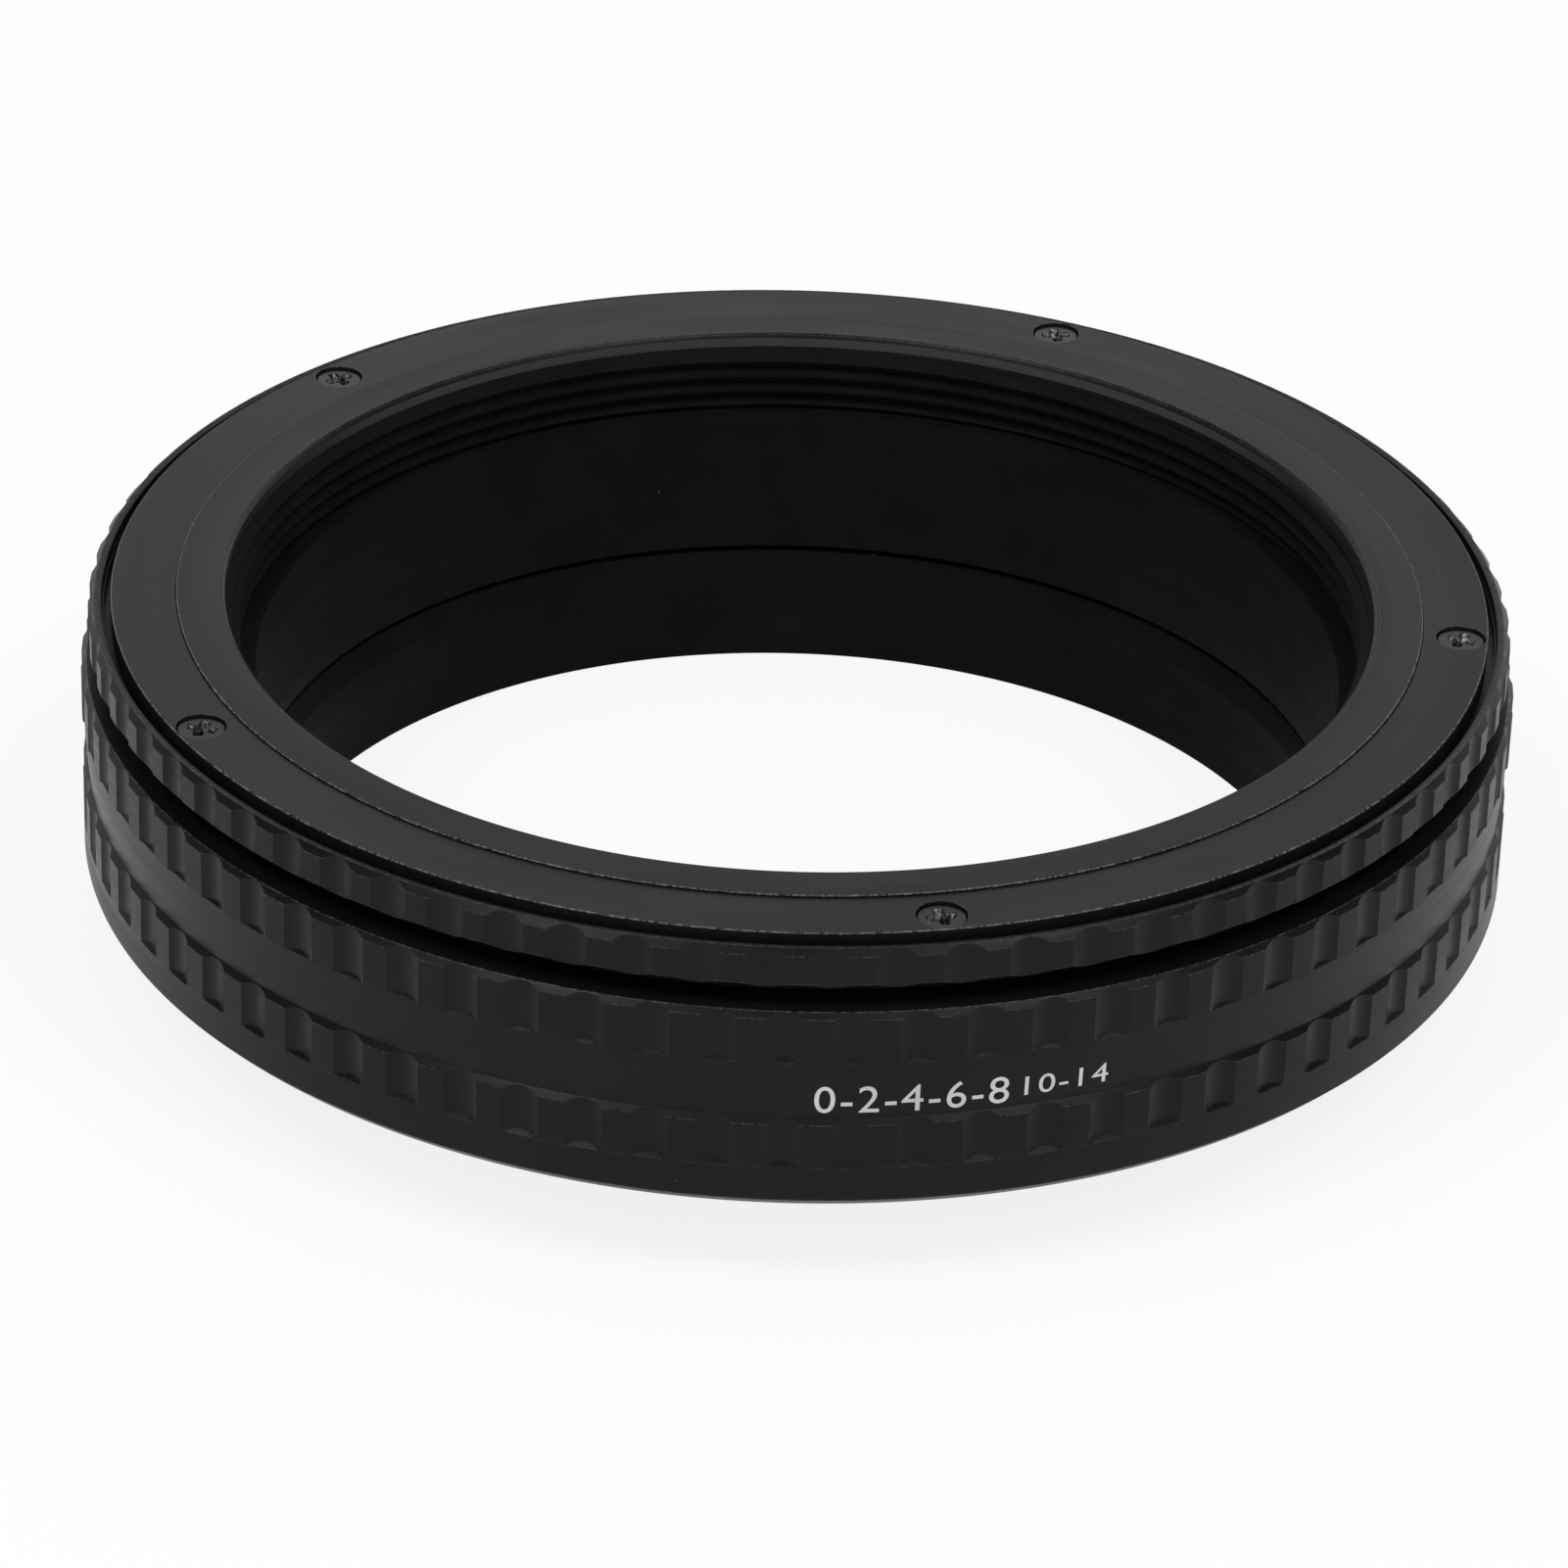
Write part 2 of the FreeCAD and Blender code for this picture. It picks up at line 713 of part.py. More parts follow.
def placed(label, blank, count, radius, height, phase=0.0, flip=False, spins=(0,)):
    """Copies of a blank in a circle, one solid each, heads up or, flipped, heads down."""
    DOC.recompute()
    upright = FreeCAD.Vector(0, 0, 1)
    solids = []
    for i in range(int(count.value)):
        shape = blank.Shape.copy()
        shape.rotate(FreeCAD.Vector(), upright, spins[i % len(spins)])
        if flip:
            shape.rotate(FreeCAD.Vector(), FreeCAD.Vector(1, 0, 0), 180)
        shape.translate(FreeCAD.Vector(radius, 0, height))
        shape.rotate(FreeCAD.Vector(), upright, phase + 360.0 * i / count.value)
        solids.append(shape)
    group = DOC.addObject("Part::Feature", label)
    group.Label = label
    group.Shape = Part.makeCompound(solids)


def fasteners():
    """The keys and the four sets of screws, each set one group of separate solids."""
    small_head = dim("small_head_radius")
    small_shank = dim("small_shank_radius")
    section = countersunk_section(small_head, small_shank, dim("small_screw_length"))
    small = screw_blank("small_screw", section, small_head)
    plate_head = dim("plate_head_radius")
    section = countersunk_section(plate_head, dim("plate_shank_radius"), dim("plate_screw_length"))
    large = screw_blank("plate_screw", section, plate_head)
    section = grub_section(small_shank, dim("key_foot") + dim("guide_floor") * 0.5)
    grub = screw_blank("grub_screw", section, small_shank)
    sink = dim("screw_sink").value
    phase = dim("plate_screw_phase").value
    placed("guide_keys", key_blank(), dim("guide_count"), 0, 0)
    placed("key_screws", grub, dim("guide_count"), key_screw_circle.value, key_foot_top.value)
    count = dim("plate_screw_count")
    placed("plate_screws", large, count, plate_screw_circle.value, plate_top.value - sink, phase,
           spins=(20, 65, 10, 40, 75))
    count = dim("small_screw_count")
    placed("sleeve_screws", small, count, sleeve_screw_circle.value, grip_top.value - sink)
    placed("mount_screws", small, count, mount_screw_circle.value, rear_face.value + sink,
           flip=True)


def export_parts(names):
    """Check every object, then write each named piece to its own file."""
    DOC.recompute()
    for thing in DOC.Objects:
        states = " ".join(thing.State)
        if "Invalid" in states or "Error" in states:
            raise RuntimeError(f"{thing.Name}: {states}")
    os.makedirs("parts", exist_ok=True)
    for name in names:
        piece = DOC.getObjectsByLabel(name)[0]
        if piece.Shape.isNull() or not piece.Shape.isValid():
            raise RuntimeError(f"{name} has no valid shape")
        piece.Shape.exportStep(f"parts/{name}.step")


rear_mount()
base_helicoid()
guide_ring()
helicoid_sleeve()
stop_pin()
focus_ring()
front_barrel()
mount_ring()
front_grip_ring()
top_plate()
fasteners()
export_parts(
    (
        "rear_mount",
        "base_helicoid",
        "mount_screws",
        "guide_ring",
        "guide_keys",
        "key_screws",
        "focus_ring",
        "helicoid_sleeve",
        "sleeve_screws",
        "stop_pin",
        "front_barrel",
        "mount_ring",
        "front_grip_ring",
        "top_plate",
        "plate_screws",
    )
)
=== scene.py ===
import math

import bmesh
import bpy
import numpy as np
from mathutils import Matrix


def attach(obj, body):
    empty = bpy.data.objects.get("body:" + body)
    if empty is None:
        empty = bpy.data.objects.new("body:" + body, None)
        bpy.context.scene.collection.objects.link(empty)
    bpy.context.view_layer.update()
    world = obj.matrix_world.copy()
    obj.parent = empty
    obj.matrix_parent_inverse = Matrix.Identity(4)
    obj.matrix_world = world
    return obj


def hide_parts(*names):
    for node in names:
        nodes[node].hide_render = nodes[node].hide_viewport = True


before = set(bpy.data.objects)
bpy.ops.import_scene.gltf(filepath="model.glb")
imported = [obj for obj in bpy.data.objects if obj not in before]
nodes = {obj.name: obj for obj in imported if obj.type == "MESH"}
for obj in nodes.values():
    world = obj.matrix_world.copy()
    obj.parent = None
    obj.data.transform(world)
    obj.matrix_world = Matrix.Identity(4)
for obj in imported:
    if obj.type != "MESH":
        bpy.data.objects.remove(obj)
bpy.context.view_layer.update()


# Rear mount: a turned aluminium flange, black anodised. Its male thread M65 x 1 screws into the
# camera side, its hub centres the collar above, and six countersunk holes take the screws that
# hold that collar from below.
MM = 0.001


def columns(step, walls=()):
    """Angles in degrees round a ring from 0 to 360, step apart, with a pair of them a hair apart
    at each angle in walls, so that the side of a slot can stand between the two."""
    pairs = np.add.outer(np.asarray(walls, float) % 360, (-1e-5, 1e-5)).ravel()
    return np.sort(np.concatenate([np.arange(0, 360 + step / 2, step), pairs]))


def turned(*corners, steps=2):
    """Rows radius, height and edge of a turned outline through corners (radius, height, ease).
    Each corner is eased by the parabola that leaves one run and meets the next at ease from the
    corner. Edge is 1 at its middle, where a finish wears first and where the rim's and plate's
    finishes paint a highlight line, and 0 on the runs."""
    corner = np.array([(*c, 0.0)[:3] for c in corners], float)
    point, ease = corner[:, :2], corner[1:-1, 2:]
    run = np.diff(point, axis=0)
    run /= np.linalg.norm(run, axis=1, keepdims=True)
    at = point[1:-1]
    s = np.linspace(0, 1, steps + 1)[:, None, None]
    before, after = at - run[:-1] * ease, at + run[1:] * ease
    curve = (1 - s) ** 2 * before + 2 * s * (1 - s) * at + s**2 * after
    edge = 4 * s * (1 - s) * (ease > 0)
    rows = np.concatenate([curve, edge], axis=2).transpose(1, 0, 2).reshape(-1, 3)
    rows = np.vstack([(*point[0], 0), rows, (*point[-1], 0)])
    step = np.linalg.norm(np.diff(rows[:, :2], axis=0), axis=1)
    return rows[np.append(True, step > 1e-6)]


def ring(angles, r, z, edge=0.0):
    """Points (r cos a, r sin a, z) with the outline's rows down the grid and the angles a across
    it, and edge kept as a fourth value."""
    a, r, z, edge = np.broadcast_arrays(np.radians(angles), r, z, edge)
    return np.stack([r * np.cos(a), r * np.sin(a), z, edge], axis=-1)


def lathe(angles, rows, cut=lambda r, z: r):
    """The rows of a turned outline carried round the axis, with cut(r, z) for what is milled away
    from it, a radius for each row and column."""
    r, z, edge = np.asarray(rows).T[:, :, None]
    return ring(angles, cut(r, z), z, edge)


def thread(angles, foot, head, pitch, form, trim, starts=1, hand=1):
    """Grids whose rows climb with a thread. On row k the height is foot + pitch (u - 1 + s), kept
    between foot and head: u passes once through the phases of the form (phase, radius, edge)
    for each pitch, and s is the share of one start's sector that the angle has passed, counted
    backwards for a left hand. trim(r, z, a) ends the ridges in a cone or a relief. Edges keep
    their mark up to margin from both ends."""
    margin = 0.02
    turns = np.arange(math.ceil((head - foot) / pitch) + 1)
    phase, radius, edge = np.array(form, float).T
    u = np.append(np.add.outer(turns, phase).ravel(), turns[-1] + 1)[:, None]
    r = np.append(np.tile(radius, len(turns)), radius[0])[:, None]
    edge = np.append(np.tile(edge, len(turns)), edge[0])[:, None]
    grids = []
    for sector in np.arange(starts) * 360 / starts:
        a = angles[(angles > sector - 1e-6) & (angles < sector + 360 / starts + 1e-6)]
        s = (a - sector) * starts / 360
        z = np.clip(foot + pitch * (u - 1 + (s if hand > 0 else 1 - s)), foot, head)
        inside = (z > foot + margin) & (z < head - margin)
        grids.append(ring(a, trim(r, z, a), z, edge * inside))
    return grids


def pierced(angles, inner, outer, holes, wall, across, reach, steps=6):
    """Flat ring from radius inner to outer with round holes at the angles in holes, their centres
    on radius across. It is a polar grid, but within reach degrees of a hole a second grid runs
    from the border of that window to the circle, and down the hole through the rows of wall
    (radius, height, edge). The points on each of the border's four sides meet a quarter turn of
    the circle."""
    a = np.concatenate([angles[:-1], angles + 360])
    inner, outer, _ = np.broadcast_arrays(inner, outer, angles)
    inner, outer = (np.concatenate([b[:-1], b]) for b in (inner, outer))
    share = np.linspace(0, 1, steps + 1)[:, None]
    face = ring(a, inner + (outer - inner) * share, wall[0][1])
    centres = np.sort([h % 360 + 360 * (h % 360 < reach) for h in holes])
    left, right = np.searchsorted(a, centres - reach), np.searchsorted(a, centres + reach)
    grids = []
    for h, i, k in zip(np.radians(centres), left, right):
        border = np.concatenate(
            [face[0, i:k], face[:-1, k], face[-1, k:i:-1], face[:0:-1, i], face[:1, i]]
        )
        quarter = [np.arange(n) / n + q for q, n in enumerate((k - i, steps) * 2)]
        turn = h + math.pi / 2 - np.radians(np.concatenate(quarter + [[4]]) * 90 - 135)
        radius, height, edge = np.asarray(wall).T[:, :, None]
        x = across * math.cos(h) + radius * np.cos(turn)
        y = across * math.sin(h) + radius * np.sin(turn)
        bore = np.stack(np.broadcast_arrays(x, y, height, edge), axis=-1)
        grids.append(np.concatenate([border[None], (border + bore[0])[None] / 2, bore]))
    stops = np.append(left[1:], left[0] + len(angles) - 1)
    grids += [face[:, k : i + 1] for k, i in zip(right, stops) if i < face.shape[1]]
    return grids


def skin(name, grids, crease=10):
    """One closed mesh from grids of points: four neighbours make a face, points that two grids
    share are welded, and edges sharper than crease degrees stay sharp. The fourth value of each
    point becomes the attribute that the edge mask reads, for abrasion and for painted highlight
    lines."""
    weld = 0.002 * MM
    sizes = np.array([0] + [grid.shape[0] * grid.shape[1] for grid in grids]).cumsum()
    points = np.concatenate([grid.reshape(-1, 4) for grid in grids])
    faces = []
    for grid, first in zip(grids, sizes):
        at = first + np.arange(grid.shape[0] * grid.shape[1]).reshape(grid.shape[:2])
        corners = [at[:-1, :-1], at[:-1, 1:], at[1:, 1:], at[1:, :-1]]
        faces.append(np.stack(corners, axis=-1).reshape(-1, 4))
    faces = np.concatenate(faces)
    mesh = bpy.data.meshes.new(name)
    mesh.vertices.add(len(points))
    mesh.vertices.foreach_set("co", (points[:, :3] * MM).astype(np.float32).ravel())
    mesh.loops.add(faces.size)
    mesh.loops.foreach_set("vertex_index", faces.astype(np.int32).ravel())
    mesh.polygons.add(len(faces))
    mesh.polygons.foreach_set("loop_start", np.arange(0, faces.size, 4, dtype=np.int32))
    edge = mesh.attributes.new("edge", "FLOAT", "POINT")
    edge.data.foreach_set("value", points[:, 3].astype(np.float32))
    mesh.update(calc_edges=True)
    shell = bmesh.new()
    shell.from_mesh(mesh)
    bmesh.ops.remove_doubles(shell, verts=shell.verts, dist=weld)
    bmesh.ops.recalc_face_normals(shell, faces=shell.faces)
    shell.to_mesh(mesh)
    shell.free()
    mesh.shade_smooth()
    mesh.set_sharp_from_angle(angle=math.radians(crease))
    piece = bpy.data.objects.new(name, mesh)
    bpy.context.scene.collection.objects.link(piece)
    return piece


def put(tree, kind, inputs=(), **settings):
    """A node of a tree, with its settings, and its inputs set to values or linked from sockets."""
    node = tree.nodes.new("ShaderNode" + kind)
    for key, value in settings.items():
        setattr(node, key, value)
    for key, value in dict(inputs).items():
        if isinstance(value, bpy.types.NodeSocket):
            tree.links.new(value, node.inputs[key])
        else:
            node.inputs[key].default_value = value
    return node


def calc(tree, operation, first, second):
    """What a Math node makes of two numbers or sockets."""
    return put(tree, "Math", {0: first, 1: second}, operation=operation).outputs[0]


def blend(tree, share, first, second):
    """The colour that lies at share of the way from first to second."""
    return put(tree, "Mix", {0: share, 6: first, 7: second}, data_type="RGBA").outputs[2]


def effect(name, inputs, outputs):
    """An empty node group with number or colour sockets, and its input and output nodes."""
    tree = bpy.data.node_groups.new(name, "ShaderNodeTree")
    for way, sockets in (("INPUT", inputs), ("OUTPUT", outputs)):
        for key, value in sockets.items():
            kind = "NodeSocketFloat" if isinstance(value, float) else "NodeSocketColor"
            socket = tree.interface.new_socket(name=key, in_out=way, socket_type=kind)
            socket.default_value = value
    return tree, tree.nodes.new("NodeGroupInput").outputs, tree.nodes.new("NodeGroupOutput").inputs


def tool_marks():
    """Turned surface: noise that changes fast across the tool's path, with radius and height, and
    slowly along it. Height is the depth of the marks from 0 to 1, Polish is how smooth they are."""
    tree, given, out = effect("tool_marks", {"Spacing mm": 0.1}, {"Height": 0.0, "Polish": 0.0})
    place = put(tree, "TexCoord").outputs["Object"]
    part = put(tree, "SeparateXYZ", {0: place}).outputs
    flat = put(tree, "CombineXYZ", {0: part[0], 1: part[1]}).outputs[0]
    radius = put(tree, "VectorMath", {0: flat}, operation="LENGTH").outputs["Value"]
    lines = calc(tree, "DIVIDE", 1000.0, given["Spacing mm"])
    across = calc(tree, "MULTIPLY", radius, lines)
    up = calc(tree, "MULTIPLY", part[2], lines)
    along = calc(tree, "MULTIPLY", part[0], 60.0)
    path = put(tree, "CombineXYZ", {0: across, 1: up, 2: along}).outputs[0]
    fine = put(tree, "TexNoise", {"Vector": path, "Scale": 1.0, "Detail": 2.0, "Roughness": 0.6})
    tree.links.new(fine.outputs[0], out["Height"])
    stretch = {0: path, 1: (0.13, 0.13, 1.0)}
    broad = put(tree, "VectorMath", stretch, operation="MULTIPLY").outputs[0]
    zones = put(tree, "TexNoise", {"Vector": broad, "Scale": 1.0, "Detail": 1.0})
    tree.links.new(zones.outputs[0], out["Polish"])
    return tree


def etched_grain():
    """Anodised skin: a fine grain over the whole surface as Height, and as Tone broad soft patches
    where the dye took a little more or less."""
    tree, given, out = effect("etched_grain", {"Grain mm": 0.06}, {"Height": 0.0, "Tone": 0.0})
    place = put(tree, "TexCoord").outputs["Object"]
    scale = calc(tree, "DIVIDE", 1000.0, given["Grain mm"])
    fine = put(
        tree, "TexNoise", {"Vector": place, "Scale": scale, "Detail": 2.0, "Roughness": 0.55}
    )
    tree.links.new(fine.outputs[0], out["Height"])
    soft = put(tree, "TexNoise", {"Vector": place, "Scale": 160.0, "Detail": 3.0, "Roughness": 0.6})
    tree.links.new(soft.outputs[0], out["Tone"])
    return tree


def dust():
    """Specks of dust: in each cell of a cell pattern a dot round its own point, kept where the
    cell's random number is under Share."""
    tree, given, out = effect("dust", {"Share": 0.1, "Speck": 0.05}, {"Mask": 0.0})
    place = put(tree, "TexCoord").outputs["Object"]
    cells = put(tree, "TexVoronoi", {"Vector": place, "Scale": 900.0, "Randomness": 1.0})
    chance = put(tree, "SeparateColor", {0: cells.outputs["Color"]}).outputs
    kept = calc(tree, "LESS_THAN", chance[0], given["Share"])
    size = calc(tree, "MULTIPLY", chance[1], given["Speck"])
    dot = calc(tree, "LESS_THAN", cells.outputs["Distance"], size)
    mask = calc(tree, "MULTIPLY", dot, kept)
    tree.links.new(mask, out["Mask"])
    return tree


def worn_and_highlit_edges():
    """Edge mask: the edge attribute, split up by noise, as a mask of a lighter colour. Where an
    edge was marked to show a light line, as on the rims, the plate, the scallops' ends and the
    screw recesses, it is a painted highlight; elsewhere it is abrasion of the anodising.
    """
    tree, given, out = effect("worn_and_highlit_edges", {"Amount": 0.5}, {"Mask": 0.0})
    place = put(tree, "TexCoord").outputs["Object"]
    edge = put(tree, "Attribute", attribute_name="edge").outputs["Fac"]
    patchy = put(tree, "TexNoise", {"Vector": place, "Scale": 5000.0, "Detail": 3.0}).outputs[0]
    lift = put(tree, "MapRange", {0: patchy, 1: 0.38, 2: 0.65}).outputs[0]
    worn_and_lit = calc(tree, "MULTIPLY", edge, lift)
    mask = calc(tree, "MULTIPLY", worn_and_lit, given["Amount"])
    tree.links.new(mask, out["Mask"])
    return tree


TOOL_MARKS, ETCHED_GRAIN, DUST, WORN_AND_HIGHLIT_EDGES = tool_marks(), etched_grain(), dust(), worn_and_highlit_edges()
MICRON = 1e-6


def finish(
    name, tint, gloss, metal=0.0, specular=0.14, marks=(0.12, 0.4), grain=(0.06, 0.3), specks=0.05,
    wear_and_highlight=0.3, bare_and_highlight=(0.25, 0.25, 0.26, 1),
):
    """A machined part's skin. The tint swings by two fifths with the grain's tone and is lightened
    by specks and by the edge mask, which is abrasion on some edges and a painted highlight line on
    others. The roughness is gloss, a seventh more or less with the tool marks. Both reliefs, as
    (size in mm, depth in thousandths of a mm), go into one bump."""
    material = bpy.data.materials.new(name)
    material.use_nodes = True
    tree = material.node_tree
    tree.nodes.clear()
    lines = put(tree, "Group", {"Spacing mm": marks[0]}, node_tree=TOOL_MARKS)
    etched = put(tree, "Group", {"Grain mm": grain[0]}, node_tree=ETCHED_GRAIN)
    specked = put(tree, "Group", {"Share": specks, "Speck": 0.06}, node_tree=DUST)
    worn_and_lit = put(tree, "Group", {"Amount": wear_and_highlight}, node_tree=WORN_AND_HIGHLIT_EDGES)
    deep = [0.6 * c for c in tint] + [1]
    pale = [1.4 * c for c in tint] + [1]
    dyed = blend(tree, etched.outputs["Tone"], deep, pale)
    rubbed_and_lit = blend(tree, worn_and_lit.outputs["Mask"], dyed, bare_and_highlight)
    dusty = blend(tree, specked.outputs["Mask"], rubbed_and_lit, (0.2, 0.2, 0.2, 1))
    polish = {0: lines.outputs["Polish"], 1: 0.25, 2: 0.75, 3: gloss * 0.85, 4: gloss * 1.15}
    swing = put(tree, "MapRange", polish).outputs[0]
    relief = {"Height": etched.outputs["Height"], "Strength": 1.0, "Distance": grain[1] * MICRON}
    low = put(tree, "Bump", relief).outputs[0]
    relief = {"Height": lines.outputs["Height"], "Strength": 1.0, "Distance": marks[1] * MICRON}
    high = put(tree, "Bump", {**relief, "Normal": low}).outputs[0]
    shader = put(tree, "BsdfPrincipled", {"Base Color": dusty, "Roughness": swing, "Normal": high})
    shader.inputs["Metallic"].default_value = metal
    shader.inputs["Specular IOR Level"].default_value = specular
    put(tree, "OutputMaterial", {"Surface": shader.outputs[0]})
    return material


def dress(piece, material, body, *replaced, slot="black_aluminium"):
    """Give a new piece its material, its body and the nodes it stands for; slot is not used."""
    piece.data.materials.append(material)
    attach(piece, body)
    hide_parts(*replaced)


BLACK_TURNED = finish("black_turned_aluminium", (0.006, 0.006, 0.0062), 0.36)
BLACK_MATT = finish(
    "matt_black_bore", (0.0072, 0.0072, 0.0073), 0.55, specular=0.02, specks=0.03, wear_and_highlight=0.0
)


def recoat(piece, material, within, low=-math.inf, high=math.inf):
    """Another finish on the faces whose middle lies nearer the axis than within and between the
    heights low and high."""
    faces = piece.data.polygons
    middle, slot = np.empty(len(faces) * 3, np.float32), np.empty(len(faces), np.int32)
    faces.foreach_get("center", middle)
    faces.foreach_get("material_index", slot)
    x, y, z = middle.reshape(-1, 3).T / MM
    piece.data.materials.append(material)
    slot[(np.hypot(x, y) < within) & (z > low) & (z < high)] = len(piece.data.materials) - 1
    faces.foreach_set("material_index", slot)


FINE_PITCH = 1.0
FINE_PHASE = (0, 0.08, 0.23, 0.33, 0.42, 0.58, 0.67, 0.77, 0.92)
FINE_DEPTH = (1, 1, 0.55, 0.25, 0, 0, 0.25, 0.55, 1)


def fine_thread(crest, root):
    """The 1 mm thread's form: flat on the crest, 60 degree flanks, flat at the root."""
    depth = np.array(FINE_DEPTH)
    return np.stack([FINE_PHASE, root + (crest - root) * depth, 0 * depth], axis=1)


COLLAR_SCREWS, COLLAR_CIRCLE = np.arange(6) * 60, 34.8


def rear_mount():
    crest, root, relief, head = 32.45, 31.9, 31.85, 3.4
    around = columns(0.5)
    sunk = turned((0.93, 4.0), (0.88, 4.0, 0.02), (0.45, 4.43, 0.02), (0.45, 5.0))
    grids = thread(
        around, 0, head, FINE_PITCH, fine_thread(crest, root),
        lambda r, z, a: np.minimum(np.minimum(r, root + z), relief + 2 * (head - z)),
    )
    grids.append(lathe(around, turned((relief, head), (32.5, 4.0))))
    grids += pierced(around, 32.5, 37.82, COLLAR_SCREWS, sunk, COLLAR_CIRCLE, reach=2.0)
    rim = turned((37.82, 4.0), (37.9, 4.0, 0.08), (37.9, 5.0, 0.08), (37.82, 5.0))
    grids.append(lathe(around, rim))
    grids += pierced(around, 33.0, 37.82, COLLAR_SCREWS, sunk[-1:], COLLAR_CIRCLE, reach=2.0)
    bore = turned(
        (33.0, 5.0), (33.0, 7.0, 0.06), (31.2, 7.0, 0.06), (30.7, 5.5, 0.06), (30.7, 0, 0.1),
        (root, 0),
    )
    grids.append(lathe(around, bore))
    return skin("threaded_rear_mount", grids)


rear = rear_mount()
dress(rear, BLACK_TURNED, "rear", "rear_mount")
recoat(rear, BLACK_MATT, within=31.3)


# Collar of the rear mount: a turned tube of black anodised aluminium. Eight ridges wind up its
# outside, right-handed, and lift the focus ring 7 mm in 270 degrees; three milled slots inside keep
# the guide ring from turning. Screws from below hold its floor to the flange.
RIDGE_RISE = 7.0 * 360 / 270
RIDGE_STARTS = 8
RIDGE_PITCH = RIDGE_RISE / RIDGE_STARTS
OILED = finish(
    "oiled_black_ridges", (0.006, 0.006, 0.0065), 0.26, marks=(0.2, 0.6), specks=0.02, wear_and_highlight=0.5
)


def ridge_form(crest, root):
    """A helicoid ridge: equal flats on crest and root with steep flanks between them."""
    phase = (0, 0.17, 0.35, 0.5, 0.67, 0.85)
    depth = np.array((1, 1, 1, 0, 0, 0))
    return np.stack([phase, root + (crest - root) * depth, (1, 0, 1, 0, 0, 0)], axis=1)


def in_slots(angles, centres, half):
    """True for the columns within half degrees of one of the centres."""
    apart = (np.subtract.outer(np.asarray(centres, float), angles) + 180) % 360 - 180
    return (np.abs(apart) < half).any(axis=0)


def collar():
    slots, half_width, wall, slot_floor = (60, 180, 300), 3.1, 36.6, 37.2
    half = math.degrees(math.asin(2 * half_width / (wall + slot_floor)))
    around = columns(0.5, np.add.outer(slots, (-half, half)).ravel())
    slotted = in_slots(around, slots, half)
    foot, head, web, lead_in, hub = 5.0, 14.6, 6.1, 37.6, 33.05
    tap = np.array([(0.45, foot, 0), (0.45, web, 0)])
    grids = thread(
        around, foot, head, RIDGE_PITCH, ridge_form(crest=38.1, root=37.7),
        lambda r, z, a: np.minimum(np.minimum(r, lead_in + (z - foot)), lead_in + (head - z)),
        RIDGE_STARTS,
    )
    inside = turned((lead_in, head), (wall, head, 0.08), (wall, web))
    grids.append(
        lathe(around, inside, lambda r, z: np.where(slotted, np.maximum(r, slot_floor), r))
    )
    rim = np.where(slotted, slot_floor, wall)
    grids += pierced(around, hub, rim, COLLAR_SCREWS, tap[1:], COLLAR_CIRCLE, reach=2.0)
    grids.append(lathe(around, turned((hub, web), (hub, foot))))
    grids += pierced(around, hub, lead_in, COLLAR_SCREWS, tap, COLLAR_CIRCLE, reach=2.0)
    return skin("ridged_collar", grids)


dress(collar(), OILED, "rear", "base_helicoid")


# Small countersunk screws: black oxide steel with a cross recess, six through the rear flange,
# three in the keys and six through the sleeve's flange.
# The strong edge mask and its pale colour put painted glints on the walls of the plate screws'
# cross recesses.
BLACK_OXIDE = finish(
    "black_oxide_steel", (0.045, 0.044, 0.044), 0.27, metal=1.0, specular=0.5,
    marks=(0.05, 0.2), grain=(0.03, 0.2), specks=0.0, wear_and_highlight=0.9, bare_and_highlight=(0.5, 0.49, 0.48, 1),
)


def refinish(material, *names):
    """Another finish on pieces that keep their shape."""
    for name in names:
        nodes[name].data.materials.clear()
        nodes[name].data.materials.append(material)


refinish(BLACK_OXIDE, "mount_screws", "key_screws", "sleeve_screws")


# Guide ring and its keys: the ring floats inside the focus ring, rises with it and is kept from
# turning by its lugs. It is turned and milled aluminium, black anodised, and the three brass keys
# on it run in slots of the front barrel, so that the barrel can't turn either.
KEY_BRASS = finish(
    "milled_key_brass", (0.55, 0.36, 0.12), 0.3, metal=1.0, specular=0.5,
    marks=(0.08, 0.3), grain=(0.05, 0.2), specks=0.0, wear_and_highlight=0.0,
)
refinish(BLACK_TURNED, "guide_ring")
refinish(KEY_BRASS, "guide_keys")


# Inner sleeve of the focus ring and its stop pin: a turned sleeve, black anodised, screwed to the
# ring's web. It carries the left-handed run of the front barrel, and the hardened steel pin pressed
# into it meets a tooth on the guide ring at both ends of the turn.
PIN_STEEL = finish(
    "hardened_pin_steel", (0.45, 0.45, 0.46), 0.22, metal=1.0, specular=0.5,
    marks=(0.04, 0.15), grain=(0.03, 0.1), specks=0.0, wear_and_highlight=0.0,
)
refinish(BLACK_TURNED, "helicoid_sleeve")
refinish(PIN_STEEL, "stop_pin")


# Focus ring: the wide grip that the fingers turn, one piece of aluminium with two rows of 72
# milled scallops, a plain band between them and a screwed web inside. The scallops are cut with
# a round cutter parallel to the axis, then the whole ring is blasted and black anodised.
GRIP_BLACK = finish(
    "satin_black_grip", (0.006, 0.006, 0.0062), 0.36, marks=(0.1, 0.25), grain=(0.05, 0.5)
)
SCALLOPS = 72
CUTTER = 2.15
BAND = ((40.63, 10.5), (40.84, 13.74))


